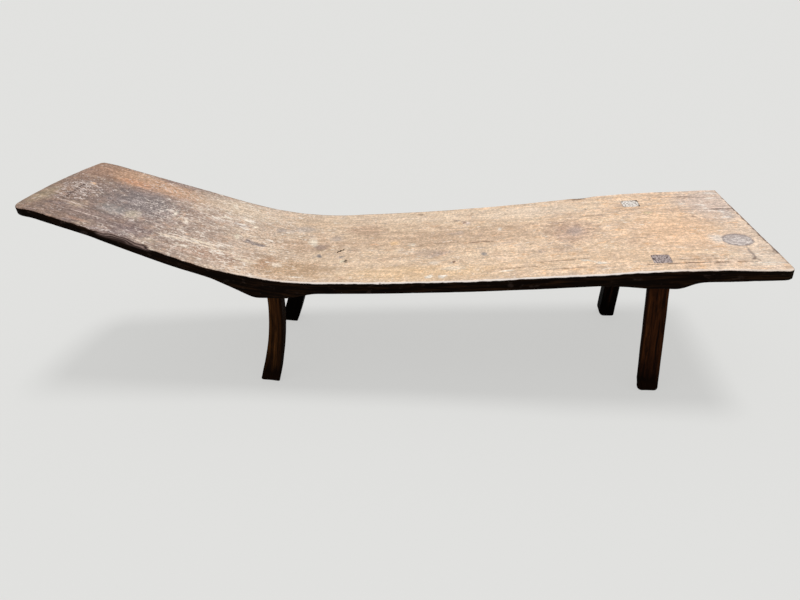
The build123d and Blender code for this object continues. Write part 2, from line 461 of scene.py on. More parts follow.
# Worn places: x, y, half length, half width, and how deep. From bared_depth on
# they have broken through the pale skin of the top.
bared_depth = 0.002
hollows = [
    (-0.705, -0.2165, 0.052, 0.015, 0.0085),
    (-0.648, -0.219, 0.034, 0.01, 0.004),
    (-0.99, -0.2, 0.06, 0.03, 0.0008),
    (-0.745, -0.02, 0.13, 0.11, 0.0012),
    (0.022, -0.253, 0.004, 0.006, 0.002),
    (0.292, -0.26, 0.009, 0.009, 0.003),
    (0.602, 0.268, 0.04, 0.012, 0.0025),
]


swell_depth = 0.0006
ripple_depth = 0.0003
pit_depth = 0.0006
pit_share = 0.35


def hollow_at(x, y, hollow):
    """Depth of one worn place."""
    middle_x, middle_y, half_length, half_width, deep = hollow
    away = np.hypot((x - middle_x) / half_length, (y - middle_y) / half_width)
    return deep * np.clip(1 - away**2, 0, 1) ** 1.5


def top_wear(x, y):
    """How far use has worn the top down at a place, in metres."""
    places = np.stack([x, y, 0 * x], 1)
    wear = (
        swell_depth * (1 + ripple(places, (5, 9, 1), 2.0))
        + ripple_depth * (1 + ripple(places, (17, 34, 1), 7.0))
        + pit_depth * np.clip(ripple(places, (30, 52, 1), 21.0) - pit_share, 0, 1)
    )
    for hollow in hollows:
        wear = wear + hollow_at(x, y, hollow)
    return wear


shoulder_margin = 0.004
shoulder_fade = 0.02


def near_shoulders(x, y):
    """1 on the flats where the legs' shoulders bear, 0 away from them."""
    near = np.zeros_like(x)
    for land, tenon, body in leg_sections.values():
        x0, x1, y0, y1 = body[0][1:]
        outside = np.hypot(
            np.maximum(0, np.abs(x - (x0 + x1) / 2) - (x1 - x0) / 2 - shoulder_margin),
            np.maximum(0, np.abs(y - (y0 + y1) / 2) - (y1 - y0) / 2 - shoulder_margin),
        )
        near = np.maximum(near, np.clip(1 - outside / shoulder_fade, 0, 1))
    return near


lip_width = 0.03
swell_height = 0.0009
adze_depth = 0.002
plain_rim = 0.06

top = np.interp(x, stations, top_heights) - top_wear(x, y)
edge_lip = np.clip(1 - to_side / lip_width, 0, 1) * (1 - near_shoulders(x, y))
hanging = np.where(right_side, hewn_at(x, lip) * edge_lip, 0)
bottom = np.interp(x, stations, under_heights) - hanging
rim_drop = radius * (1 - np.cos(turn))
side_z = top - radius + (bottom + under_chamfer - top + radius) * wall
z = np.where(ring < rim_rings, top - rim_drop, side_z)
z = np.where(under, bottom, z)

places = np.stack([x, y, 0 * x], 1)
hewing = swell_height * (1 + ripple(places, (9, 14, 1), 4.0))
hewing = hewing + adze_depth * (1 - adze_cuts(places, (16, 26, 1), 1.0))
hewing = hewing * np.clip(to_side / plain_rim, 0.12, 1) * np.clip(to_end / plain_rim, 0.12, 1)
z = z + np.where(under, hewing * (1 - near_shoulders(x, y)), 0)

points = np.clip(np.stack([x, y, z], 1), plank_low, plank_high)
put_points(plank, points)


def cut_from(piece, cutter):
    """Cuts one closed piece out of another."""
    bpy.context.view_layer.objects.active = piece
    cut = piece.modifiers.new("cut", "BOOLEAN")
    cut.operation = "DIFFERENCE"
    cut.solver = "EXACT"
    cut.object = cutter
    bpy.ops.object.modifier_apply(modifier=cut.name)
    bpy.data.objects.remove(cutter)


mortise_clearance = 0.0004
mortise_corner = 0.0035
blind_mortise_depth = 0.038
through_mortise_rise = 0.075
below_land = 0.005

# The foot tenons are spread by wedging: what each fills of the top, x0, x1, y0, y1.
tenon_mouths = {
    "right_foot_leg": (0.7166, 0.7604, -0.2184, -0.1722),
    "left_foot_leg": (0.7103, 0.7582, 0.159, 0.2102),
}


def tenon_faces(name, heights):
    """Faces x0, x1, y0, y1 of a leg's tenon at heights above its shoulder."""
    land, tenon, body = leg_sections[name]
    faces = box_between(heights, tenon)
    if name in tenon_mouths:
        spread = np.array(tenon_mouths[name])[:, None]
        rise = np.clip((heights - land) / (tenon[0][0] - land), 0, None)
        start = box_between(np.full_like(heights, land), tenon)
        faces = start + (spread - start) * rise
    return faces


for name in leg_names:
    land, tenon, body = leg_sections[name]
    cutter = hewn_block("mortise", 6, 6, 6)
    block = points_of(cutter)
    through = name.endswith("foot_leg")
    rise = through_mortise_rise if through else blind_mortise_depth + below_land
    heights = land - below_land + (block[:, 2] + 1) * rise
    room = np.array([-1, 1, -1, 1])[:, None] * mortise_clearance
    mx, my = bar_points(block, tenon_faces(name, heights) + room, mortise_corner)
    put_points(cutter, np.stack([mx, my, heights], 1))
    cut_from(plank, cutter)

# Splits and cuts in the top: their two ends, width and depth.
splits = [
    ((-0.1395, -0.0515), (-0.119, -0.0275), 0.0064, 0.008),
    ((0.955, -0.14), (0.9558, -0.204), 0.0008, 0.001),
    ((0.927, 0.1165), (1.02, 0.118), 0.0018, 0.012),
    ((0.96, 0.219), (1.02, 0.22), 0.0012, 0.009),
]

above_top = 0.004

for start, end, width, deep in splits:
    cutter = hewn_block("split", 16, 2, 2)
    block = points_of(cutter)
    start, end = np.array(start), np.array(end)
    run = end - start
    across = np.array([-run[1], run[0]]) / np.hypot(*run)
    taper = np.sqrt(np.clip(1.0 - block[:, 0] ** 2 * 0.85, 0, 1)) * width / 2
    kink = 0.25 * width * np.sin(block[:, 0] * 9)
    part = (block[:, 0] + 1) / 2
    cx, cy = (start[i] + run[i] * part + across[i] * (taper * block[:, 1] + kink) for i in (0, 1))
    cz = np.interp(cx, stations, top_heights) + above_top + block[:, 2] * (deep + above_top)
    put_points(cutter, np.stack([cx, cy, cz], 1))
    cut_from(plank, cutter)


def smooth(piece):
    """Shades a piece smooth but for its sharp edges."""
    bpy.ops.object.select_all(action="DESELECT")
    piece.select_set(True)
    bpy.context.view_layer.objects.active = piece
    bpy.ops.object.shade_smooth_by_angle(angle=radians(50))


smooth(plank)

# Where the wood lies in the board: along it, across it, and below its worn top.
final = points_of(plank)
steps = np.hypot(np.diff(stations), np.diff(top_heights))
length_along = np.concatenate([[0], np.cumsum(steps)])
fine_wear = top_wear(final[:, 0], final[:, 1])
for hollow in hollows:
    if hollow[-1] >= bared_depth:
        fine_wear = fine_wear - hollow_at(final[:, 0], final[:, 1], hollow)
board = np.stack(
    [
        np.interp(final[:, 0], stations, length_along),
        final[:, 1],
        np.interp(final[:, 0], stations, top_heights) - fine_wear - final[:, 2],
    ],
    1,
)


def store(piece, name, vectors):
    """Keeps a vector for each point, for the finish to read."""
    attribute = piece.data.attributes.new(name, "FLOAT_VECTOR", "POINT")
    attribute.data.foreach_set("vector", np.ascontiguousarray(vectors, np.float32).ravel())


# How far in from the rim of its own side each point lies, and which side that is.
rim_order = np.argsort(points[:, 0])
rim_line = {}
for side in (-1, 1):
    outline = rim_order[(ring[rim_order] == rim_rings) & (np.sign(v[rim_order]) == side)]
    outline = outline[np.abs(v[outline]) > 0.999]
    rim_line[side] = (points[outline, 0], np.abs(points[outline, 1]))
to_rim = np.where(
    final[:, 1] < 0,
    np.interp(final[:, 0], *rim_line[-1]) + final[:, 1],
    np.interp(final[:, 0], *rim_line[1]) - final[:, 1],
)
store(plank, "board", board)
store(plank, "rim", np.stack([to_rim, 0 * to_rim, np.sign(final[:, 1])], 1))


def stored(place, name):
    """What store() keeps under a name."""
    return place.node("ShaderNodeAttribute", {"attribute_name": name}, {}, "Vector")


def axes(vector):
    """The three parts of a vector."""
    split = vector.node("ShaderNodeSeparateXYZ", {}, {0: vector})
    return [Value(split.socket.node.outputs[part]) for part in range(3)]


def stretched(place, scale, shift=(0, 0, 0)):
    """A place, scaled and then moved."""
    inputs = {0: place, 1: scale, 2: shift}
    return place.node("ShaderNodeVectorMath", {"operation": "MULTIPLY_ADD"}, inputs)


def grains(place, scale, detail=3, roughness=0.55, warp=0, shift=(0, 0, 0)):
    """Noise from 0 to 1 at a place, scaled and then moved."""
    inputs = {"Vector": stretched(place, scale, shift), "Scale": 1, "Detail": detail}
    inputs |= {"Roughness": roughness, "Distortion": warp}
    return place.node("ShaderNodeTexNoise", {}, inputs)


def eased(value, low, high):
    """0 at low and 1 at high, smooth between them."""
    inputs = {"Value": value, "From Min": low, "From Max": high}
    return value.node("ShaderNodeMapRange", {"interpolation_type": "SMOOTHSTEP"}, inputs)


def toned(colour, strength):
    """A colour made brighter or darker."""
    return colour.node("ShaderNodeHueSaturation", {}, {"Color": colour, "Value": strength})


plank_finish, place = new_material("plank_finish", "ShaderNodeTexCoord", "Object")
board_place = stored(place, "board")
rim_place = stored(place, "rim")
x_at, y_at, _ = axes(place)
depth_at = axes(board_place)[2]
side_gap, _, hand = axes(rim_place)
slope_part = eased(x_at, -0.14, -0.38) * eased(x_at, -0.82, -0.6)
head_part = eased(x_at, -0.6, -0.78)
foot_part = eased(x_at, -0.05, 0.55)

# The tone of the wood from the headrest, greyed by heads and hands, to the foot.
length_tones = [
    (0, (144, 122, 109)),
    (0.14, (150, 131, 124)),
    (0.2, (168, 147, 135)),
    (0.27, (200, 177, 158)),
    (0.38, (214, 189, 164)),
    (0.52, (226, 199, 171)),
    (0.72, (233, 205, 177)),
    (0.9, (236, 205, 176)),
    (1, (232, 208, 186)),
]
drift = grains(place, (3, 5, 0), 2)
tone_at = (x_at + 1.013) / 2.026 + (drift - 0.5) * 0.12
colour = tone_at.node(
    "ShaderNodeValToRGB",
    {"stops": [(position, linear(*tone)) for position, tone in length_tones]},
    {0: tone_at},
)

# Cloudy patches, and small ones of warmer and of greyer wood.
cloud = grains(place, (9, 16, 0), 6, 0.72, shift=(3.1, 0.4, 0))
colour = mix(eased(cloud, 0.52, 0.7) * 0.5, colour, (242, 220, 190))
colour = mix(eased(cloud, 0.48, 0.32) * 0.5, colour, (172, 142, 122))
warmth = grains(place, (26, 42, 0), 5, 0.75, shift=(8, 5, 0))
warm_wood = mix(foot_part, (204, 168, 140), (236, 186, 138))
warm_wood = mix(head_part, warm_wood, (176, 146, 126))
grey_wood = mix(head_part, (190, 172, 162), (134, 121, 122))
colour = mix(eased(warmth, 0.52, 0.66) * 0.6, colour, warm_wood)
colour = mix(eased(warmth, 0.48, 0.34) * 0.55, colour, grey_wood)

# Stains and worn places: x, y, half length, half width, turn, colour, strength.
stains = [
    (-0.8, 0.15, 0.23, 0.065, -4, (208, 166, 134), 0.65),
    (-0.94, 0.12, 0.06, 0.08, 0, (160, 130, 114), 0.6),
    (-0.82, 0.122, 0.06, 0.022, 0, (216, 160, 126), 0.55),
    (-0.69, 0.15, 0.12, 0.04, 0, (212, 172, 142), 0.45),
    (-0.5, 0.16, 0.16, 0.07, 0, (224, 204, 180), 0.55),
    (-0.86, -0.01, 0.09, 0.09, 0, (138, 120, 112), 0.45),
    (-0.745, 0.01, 0.11, 0.105, 0, (138, 129, 128), 0.75),
    (-0.7, -0.16, 0.07, 0.04, 20, (132, 116, 116), 0.65),
    (-0.79, -0.075, 0.05, 0.035, 0, (168, 162, 158), 0.65),
    (-0.736, -0.07, 0.024, 0.032, 0, (206, 191, 170), 0.62),
    (-0.985, -0.09, 0.035, 0.08, 0, (172, 154, 130), 0.65),
    (-0.82, -0.15, 0.13, 0.04, 0, (139, 120, 113), 0.6),
    (-0.56, 0.06, 0.07, 0.06, 0, (178, 154, 140), 0.4),
    (-0.48, -0.16, 0.1, 0.04, 0, (180, 149, 130), 0.72),
    (-0.25, -0.165, 0.13, 0.06, 0, (195, 163, 132), 0.8),
    (-0.24, -0.01, 0.11, 0.06, 0, (193, 163, 138), 0.62),
    (-0.22, 0.17, 0.13, 0.05, 0, (202, 174, 146), 0.45),
    (0.45, 0.185, 0.17, 0.055, 0, (238, 220, 200), 0.45),
    (0.975, -0.2, 0.035, 0.05, 0, (238, 222, 204), 0.5),
    (0.2, 0.035, 0.42, 0.08, 2, (200, 170, 144), 0.6),
    (-0.08, 0.11, 0.07, 0.05, 0, (188, 156, 132), 0.55),
    (0.15, 0.2, 0.56, 0.05, 0, (236, 214, 190), 0.45),
    (0.545, 0.01, 0.075, 0.085, 0, (194, 162, 144), 0.6),
    (0.82, -0.02, 0.13, 0.14, 0, (242, 202, 166), 0.6),
    (0.95, 0.17, 0.095, 0.14, 0, (214, 193, 181), 0.7),
    (0.6, -0.18, 0.3, 0.06, 0, (240, 208, 174), 0.35),
    (0.12, -0.19, 0.25, 0.05, 0, (238, 202, 158), 0.5),
]
# Small spots, scratches and dark lines of grain, in the same terms.
marks = [
    (-0.83, -0.183, 0.03, 0.007, 0, (194, 156, 134), 0.5),
    (-0.91, 0.04, 0.009, 0.008, 0, (226, 188, 154), 0.9),
    (-0.925, -0.028, 0.004, 0.078, 2, (98, 82, 78), 0.75),
    (-0.826, -0.143, 0.05, 0.0032, 0, (222, 202, 190), 0.9),
    (-0.884, -0.105, 0.046, 0.003, 0, (212, 194, 184), 0.85),
    (-0.676, -0.186, 0.024, 0.0045, -30, (230, 208, 194), 0.9),
    (-0.66, -0.2, 0.04, 0.003, -14, (220, 200, 186), 0.8),
    (-0.528, -0.107, 0.04, 0.006, 0, (250, 232, 208), 0.95),
    (-0.5, -0.124, 0.11, 0.004, 0, (244, 224, 200), 0.85),
    (-0.6, -0.128, 0.036, 0.007, 4, (246, 226, 204), 0.9),
    (-0.46, -0.096, 0.03, 0.0045, -4, (248, 230, 206), 0.8),
    (-0.39, -0.15, 0.036, 0.006, -6, (246, 226, 200), 0.8),
    (-0.56, -0.16, 0.028, 0.0045, 4, (240, 222, 200), 0.8),
    (-0.648, 0.008, 0.006, 0.015, 24, (244, 232, 214), 0.8),
    (-0.604, -0.022, 0.0052, 0.016, 28, (242, 228, 212), 0.8),
    (-0.523, 0.17, 0.01, 0.018, 40, (244, 230, 210), 0.75),
    (-0.453, -0.022, 0.008, 0.014, 20, (248, 234, 210), 0.8),
    (-0.425, 0.07, 0.008, 0.012, 0, (248, 232, 210), 0.85),
    (-0.462, 0.098, 0.03, 0.006, -20, (246, 230, 208), 0.85),
    (-0.52, 0.078, 0.028, 0.006, 14, (244, 228, 206), 0.8),
    (-0.471, 0.06, 0.026, 0.012, -8, (142, 132, 131), 0.75),
    (-0.41, -0.033, 0.024, 0.012, -10, (134, 124, 124), 0.8),
    (-0.374, -0.042, 0.022, 0.011, 0, (130, 121, 122), 0.8),
    (-0.345, 0.08, 0.024, 0.018, 0, (162, 150, 144), 0.7),
    (-0.28, 0.108, 0.04, 0.026, 10, (192, 180, 172), 0.55),
    (-0.16, 0.05, 0.02, 0.024, 0, (184, 170, 162), 0.55),
    (-0.193, -0.012, 0.021, 0.022, 5, (146, 128, 120), 0.7),
    (-0.206, -0.018, 0.016, 0.014, 0, (160, 138, 126), 0.6),
    (-0.228, 0.02, 0.014, 0.028, 20, (244, 232, 212), 0.75),
    (-0.187, -0.074, 0.015, 0.007, -40, (126, 122, 124), 0.85),
    (-0.118, -0.082, 0.01, 0.009, 0, (142, 136, 134), 0.8),
    (-0.101, -0.108, 0.007, 0.009, 0, (88, 74, 62), 0.95),
    (-0.111, -0.108, 0.007, 0.011, 0, (244, 228, 200), 0.9),
    (-0.325, -0.14, 0.024, 0.046, -10, (186, 148, 120), 0.65),
    (-0.292, -0.145, 0.018, 0.014, 0, (250, 230, 208), 0.85),
    (-0.223, -0.2075, 0.026, 0.0045, 0, (244, 230, 214), 0.9),
    (-0.03, 0.003, 0.014, 0.007, -10, (234, 186, 148), 0.65),
    (0.027, 0.008, 0.016, 0.018, 20, (242, 202, 154), 0.65),
    (0.085, -0.01, 0.013, 0.013, 0, (236, 226, 208), 0.7),
    (0.13, -0.065, 0.04, 0.03, 0, (188, 164, 148), 0.5),
    (0.17, -0.078, 0.036, 0.016, 20, (174, 154, 146), 0.55),
    (0.158, -0.132, 0.014, 0.011, 0, (246, 230, 212), 0.75),
    (0.152, -0.215, 0.014, 0.009, 20, (252, 242, 228), 0.95),
    (0.188, -0.218, 0.013, 0.009, 0, (252, 244, 232), 0.95),
    (0.212, -0.17, 0.034, 0.012, 0, (240, 224, 204), 0.65),
    (0.21, -0.134, 0.008, 0.007, 60, (116, 88, 74), 0.9),
    (0.296, -0.098, 0.007, 0.012, 0, (146, 142, 142), 0.8),
    (0.207, 0.16, 0.012, 0.008, 20, (142, 122, 112), 0.75),
    (0.234, 0.14, 0.018, 0.006, -35, (146, 118, 108), 0.75),
    (0.242, 0.137, 0.007, 0.01, 0, (240, 220, 210), 0.8),
    (0.04, 0.187, 0.01, 0.008, 0, (150, 128, 112), 0.7),
    (0.085, 0.225, 0.013, 0.008, 0, (140, 114, 96), 0.7),
    (0.217, 0.06, 0.024, 0.013, 0, (172, 158, 150), 0.55),
    (0.29, -0.012, 0.045, 0.0034, 0, (132, 102, 88), 0.75),
    (0.19, -0.004, 0.06, 0.003, 2, (150, 122, 104), 0.55),
    (0.34, 0.07, 0.008, 0.012, 0, (246, 238, 226), 0.8),
    (0.553, 0.01, 0.024, 0.034, 0, (184, 166, 158), 0.65),
    (0.505, 0.08, 0.02, 0.0036, 0, (132, 104, 90), 0.6),
    (0.6, 0.11, 0.06, 0.003, -3, (158, 124, 104), 0.6),
    (0.49, -0.167, 0.075, 0.0032, 0, (150, 118, 98), 0.65),
    (0.4, -0.19, 0.09, 0.003, 1, (160, 130, 108), 0.6),
    (0.52, -0.215, 0.09, 0.0032, -1, (146, 114, 94), 0.6),
    (0.56, -0.178, 0.015, 0.0055, -20, (250, 240, 224), 0.8),
    (0.596, -0.197, 0.018, 0.0058, -10, (252, 242, 228), 0.85),
    (0.353, -0.2025, 0.018, 0.004, 0, (250, 240, 226), 0.85),
    (0.806, -0.2225, 0.152, 0.0032, 0, (104, 78, 66), 0.8),
    (0.82, -0.203, 0.07, 0.0028, 0, (150, 116, 94), 0.6),
    (0.85, -0.186, 0.06, 0.0026, 0, (158, 122, 100), 0.55),
    (0.955, -0.172, 0.004, 0.036, 0, (164, 146, 136), 0.8),
    (0.949, -0.207, 0.0075, 0.004, 45, (128, 106, 96), 0.75),
    (0.96, -0.216, 0.0035, 0.008, 20, (132, 108, 96), 0.65),
    (0.975, -0.228, 0.04, 0.0034, 0, (250, 240, 226), 0.8),
    (0.96, -0.238, 0.036, 0.0034, 0, (248, 236, 220), 0.75),
    (0.905, -0.085, 0.02, 0.03, 20, (240, 228, 216), 0.75),
    (0.88, 0.222, 0.068, 0.0044, 0, (138, 112, 100), 0.75),
    (0.905, 0.212, 0.05, 0.0034, 0, (150, 124, 112), 0.65),
    (0.974, 0.117, 0.032, 0.0062, 0, (138, 114, 104), 0.8),
    (0.888, 0.065, 0.006, 0.01, 30, (150, 120, 102), 0.6),
    (0.768, 0.105, 0.012, 0.008, 0, (212, 196, 158), 0.75),
    (0.59, 0.257, 0.034, 0.012, 0, (118, 92, 76), 0.85),
    (1.0095, 0, 0.0032, 0.26, 2, (104, 78, 66), 0.85),
    (1.015, -0.162, 0.006, 0.018, 4, (112, 96, 90), 0.75),
    (0.976, 0.078, 0.014, 0.046, 6, (188, 174, 168), 0.6),
    (0.97, 0.095, 0.007, 0.016, 20, (238, 228, 218), 0.75),
    (0.968, 0.056, 0.012, 0.009, 0, (236, 226, 216), 0.75),
    (0.978, 0.246, 0.02, 0.01, -15, (238, 228, 218), 0.75),
    (0.88, 0.168, 0.013, 0.009, 30, (240, 228, 214), 0.75),
    (0.931, 0.151, 0.016, 0.008, -20, (238, 226, 214), 0.7),
]
# Nicks in the pale near rim, in the same terms.
rim_marks = [
    (0.0235, -0.252, 0.0034, 0.013, 8, (110, 92, 82), 0.9),
    (0.295, -0.256, 0.011, 0.006, -45, (92, 70, 60), 0.95),
]


def shifted(place, scale, reach):
    """The place, pushed about by noise, to give what is drawn there a ragged edge."""
    inputs = {"Vector": stretched(place, scale), "Scale": 1, "Detail": 5}
    push = place.node("ShaderNodeTexNoise", {}, inputs, "Color")
    push = stretched(push, (2 * reach[0], 2 * reach[1], 0), (-reach[0], -reach[1], 0))
    return place.node("ShaderNodeVectorMath", {"operation": "ADD"}, {0: place, 1: push})


def within(position, x, y, half_length, half_width, turn=0):
    """Distance from a place in parts of its half sizes: 1 on its edge."""
    if turn:
        inputs = {"Vector": position, "Center": (x, y, 0), "Angle": radians(-turn)}
        position = position.node("ShaderNodeVectorRotate", {"rotation_type": "Z_AXIS"}, inputs)
    shift = (-x / half_length, -y / half_width, 0)
    flat = stretched(position, (1 / half_length, 1 / half_width, 0), shift)
    return flat.node("ShaderNodeVectorMath", {"operation": "LENGTH"}, {0: flat}, "Value")


# Grain runs along the board and parts round the knot.
knot = (0.949, -0.095)
knot_radius = 0.0375
knot_distance = within(place, *knot, 2 * knot_radius, 2 * knot_radius)
knot_pull = eased(knot_distance, 1.15, 0) * 0.75
parted = (y_at - knot[1]) * knot_pull
grain_place = board_place.node(
    "ShaderNodeVectorMath",
    {"operation": "SUBTRACT"},
    {0: board_place, 1: parted.node("ShaderNodeCombineXYZ", {}, {1: parted})},
)
bands = grains(grain_place, (4, 30, 30), 3, 0.6, 0.3)
streaks = grains(grain_place, (14, 70, 70), 4, 0.72, 0.5)
lines = grains(grain_place, (14, 200, 120), 3, 0.65, 0.3)
grit = grains(grain_place, (44, 42, 40), 6, 0.8, 0.5, shift=(2, 7, 0))
speck = grains(grain_place, (125, 130, 110), 3, 0.8, shift=(6, 1, 0))

ragged_place = shifted(place, (30, 60, 0), (0.02, 0.013))
nicked_place = shifted(place, (60, 80, 0), (0.015, 0.011))
scored_place = shifted(place, (50, 70, 0), (0.006, 0.003))
broken = (grit - 0.5) * 2.2
for sx, sy, half_length, half_width, turned, tint, strength in stains:
    edge = within(ragged_place, sx, sy, half_length, half_width, turned)
    colour = mix(eased(edge + broken, 1.25, 0.35) * strength, colour, tint)
nibbled = broken * 0.9
gaps = grains(place, (42, 14, 0), 3, 0.7, shift=(0, 2, 0))
unbroken = eased(gaps, 0.34, 0.5)
thin_mark = 0.005


def marked(colour, sx, sy, half_length, half_width, turned, tint, strength):
    """The colour with one mark on it; a thin one is scored in broken strokes."""
    thin = min(half_length, half_width) < thin_mark
    edge = within(scored_place if thin else nicked_place, sx, sy, half_length, half_width, turned)
    part = eased(edge + nibbled, 1.4, 0.3) * strength
    return mix(part * unbroken if thin and half_length > 0.02 else part, colour, tint)


for mark in marks:
    colour = marked(colour, *mark)

roughened = 1 + head_part * 0.6 + slope_part * 0.3
shade = (bands - 0.5) * 0.5 + (streaks - 0.5) * 0.8 + (lines - 0.5) * 0.65
shade = (shade + (grit - 0.5) * 1.25 + (speck - 0.5) * 1.9) * roughened
shade = (shade + shade * shade + 0.978).math("MAXIMUM", 0.5).math("MINIMUM", 1.45)
colour = toned(colour, shade)


def patch(x, y, half_length, half_width, outside=1.4, inside=0.5):
    """1 in a ragged patch, 0 out of it."""
    return eased(within(ragged_place, x, y, half_length, half_width), outside, inside)


# Pale scuffs and flecks, where the old finish has chalked, thickest on the slope.
field = grains(place, (8, 14, 0), 3, shift=(1.7, 6, 0))
chalked = patch(-0.52, -0.125, 0.15, 0.06)
chalked = chalked + patch(-0.5, 0.085, 0.09, 0.05)
chalked = chalked + patch(0.95, 0.16, 0.09, 0.12)
scuff = grains(grain_place, (22, 75, 60), 4, 0.72, 0.8, shift=(5, 0, 0))
scuff_level = 0.66 - slope_part * 0.06 - chalked * 0.05 - head_part * 0.02
scuff_level = scuff_level - (field - 0.5) * 0.25
scuffs = eased(scuff - scuff_level, 0, 0.045)
fleck = grains(grain_place, (60, 130, 100), 3, 0.7, 0.5, shift=(0, 3, 0))
fleck_level = 0.622 - slope_part * 0.04 - head_part * 0.015 - (field - 0.5) * 0.2
flecks = eased(fleck - fleck_level, 0, 0.05)
curl = grains(place, (42, 60, 0), 2, 0.5, 1.2, shift=(4, 2, 0))
curls = eased((curl - 0.5).math("ABSOLUTE"), 0.034, 0.01)
pieces = grains(place, (60, 80, 0), 2, shift=(9, 1, 0))
scratched = patch(-0.922, -0.02, 0.06, 0.08, 1.3, 0.6)
blot = patch(-0.7, 0, 0.11, 0.06, 1.3, 0.6)
strewn = scratched + blot * 0.6 + chalked * 0.35 + slope_part * 0.5 + head_part * 0.2
curls = curls * eased(pieces + strewn * 0.16, 0.58, 0.66) * strewn.math("MINIMUM", 1)
pale = scuffs.math("MAXIMUM", flecks * 0.85).math("MAXIMUM", curls)
colour = mix(pale * 0.85, colour, mix(head_part, (252, 240, 226), (236, 222, 214)))
dash = grains(grain_place, (30, 150, 100), 3, 0.65, 0.4, shift=(0, 9, 0))
dashes = eased(dash, 0.6, 0.7)
colour = mix(dashes * 0.32, colour, toned(colour, 0.55))

# The knot: uneven rings of greyed end grain, whitened in the middle, in a soft
# dark ring, and the wood beside it paler.
full_turn = 6.2832
knot_edge = within(scored_place, *knot, 0.95 * knot_radius, knot_radius)
knot_disc = eased(knot_edge + broken * 0.1, 1.08, 0.92)
ring_wave = grains(place, (70, 70, 0), 4, 0.75) * 3.6 + knot_edge * 1.8
rings = (ring_wave * full_turn).math("SINE") * 0.5 + 0.5
heartwood = mix(eased(knot_edge, 0.95, 0.45), (156, 143, 141), (184, 173, 170))
knot_wood = mix(eased(rings + broken * 1.3, 0.3, 1.05) * 0.85, heartwood, (240, 231, 225))
colour = mix(knot_disc * 0.9, colour, knot_wood)
knot_line = eased(knot_edge + broken * 0.16, 0.8, 0.94)
knot_line = knot_line * eased(knot_edge + broken * 0.08, 1.1, 1)
colour = mix(knot_line * 0.45, colour, (142, 129, 128))

# The near rim: pale wear and a painted highlight, seat to foot; the far one is stained.
rub = grains(board_place, (30, 60, 0), 3) - 0.5
# Pale band on the near rim: partly wear, partly a painted highlight along its rounded edge.
rubbed_and_highlit = eased(side_gap + rub * 0.008, 0.009, 0.006) * eased(hand, 0, -0.5)
rubbed_and_highlit = rubbed_and_highlit * eased(x_at, -0.5, -0.12) * (1 - eased(x_at, 0.7, 0.84) * 0.45)
colour = mix(rubbed_and_highlit * 0.9, colour, (246, 236, 229))
for mark in rim_marks:
    colour = marked(colour, *mark)
far_line = eased(side_gap + rub * 0.006, 0.008, 0.002) * eased(hand, 0, 0.5)
far_line = far_line * eased(x_at, 0.35, -0.3)
colour = mix(far_line * 0.65, colour, (112, 84, 68))

# Brown where the rim wears down, then black with smoke and handling on the
# sides and ends. The underside is a plainer dark brown.
side_ragged = (grains(board_place, (46, 46, 60), 4) - 0.5) * 0.0036
rim_brown = eased(depth_at + side_ragged, 0.0003, 0.0014) * (1 - rubbed_and_highlit)
colour = mix(rim_brown * 0.85, colour, (92, 66, 52))
below_rim = eased(depth_at + side_ragged, 0.0008, 0.0021)
soot_lines = grains(board_place, (9, 60, 150), 5, 0.72, 0.5)
soot = mix(eased(soot_lines, 0.46, 0.72), (13, 7, 4), (44, 27, 15))
smoked = mix(eased(soot_lines, 0.36, 0.7), (46, 31, 22), (94, 66, 46))
smudge = grains(board_place, (26, 40, 60), 3, 0.65, shift=(3, 0, 1))
soot = mix(eased(smudge, 0.58, 0.7) * 0.55, soot, (58, 46, 41))
soot = mix(eased(side_gap, 0.004, 0.02) * eased(depth_at, 0.012, 0.018), soot, smoked)
colour = mix(below_rim, colour, soot)

# The bite out of the near rim shows brown wood in thin layers along the rim.
bite = within(ragged_place, -0.69, -0.219, 0.08, 0.026)
bite_part = eased(bite, 1.05, 0.75) * eased(depth_at + side_ragged, 0.011, 0.008)
bite_part = bite_part * eased(depth_at, 0.0006, 0.0016)
layers = ((depth_at + side_ragged * 0.7) * 2200 + (bands - 0.5) * 6).math("SINE") * 0.5 + 0.5
layers = layers * eased(depth_at, 0.0085, 0.003)
colour = mix(bite_part * 0.9, colour, mix(layers, (50, 37, 33), (150, 128, 120)))


def put_finish(piece, finish, colour, roughness, specular, height, strength, distance):
    """Ends a piece's material with its shader, whose bumps follow the height."""
    inputs = {"Height": height, "Strength": strength, "Distance": distance}
    bump = colour.node("ShaderNodeBump", {}, inputs)
    inputs = {"Base Color": colour, "Roughness": roughness, "Specular IOR Level": specular}
    wood = colour.node("ShaderNodeBsdfPrincipled", {}, inputs | {"Normal": bump})
    wood.node("ShaderNodeOutputMaterial", {}, {"Surface": wood})
    piece.data.materials.append(finish)


roughness = 0.7 + (grit - 0.5) * 0.35
height = streaks * 0.6 + lines * 0.5 + grit
put_finish(plank, plank_finish, colour, roughness, 0.02, height, 0.45, 0.0015)

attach(plank, "root")
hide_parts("plank")


# ---- Legs ----
# Four hewn stubs of darker wood, each drawn down at its top to a square tenon
# and driven into the plank. The head pair sweeps back under the slope; the foot
# pair's tenons come right through and are trimmed off level with the top.

leg_cells = 12
leg_rings = 40
leg_edge_radius = 0.0045
tenon_edge_radius = 0.003
worn_tenon_radius = 0.015
tenon_recess = 0.0006
leg_swell_height = 0.0003
leg_adze_depth = 0.001
plain_shoulder = 0.02
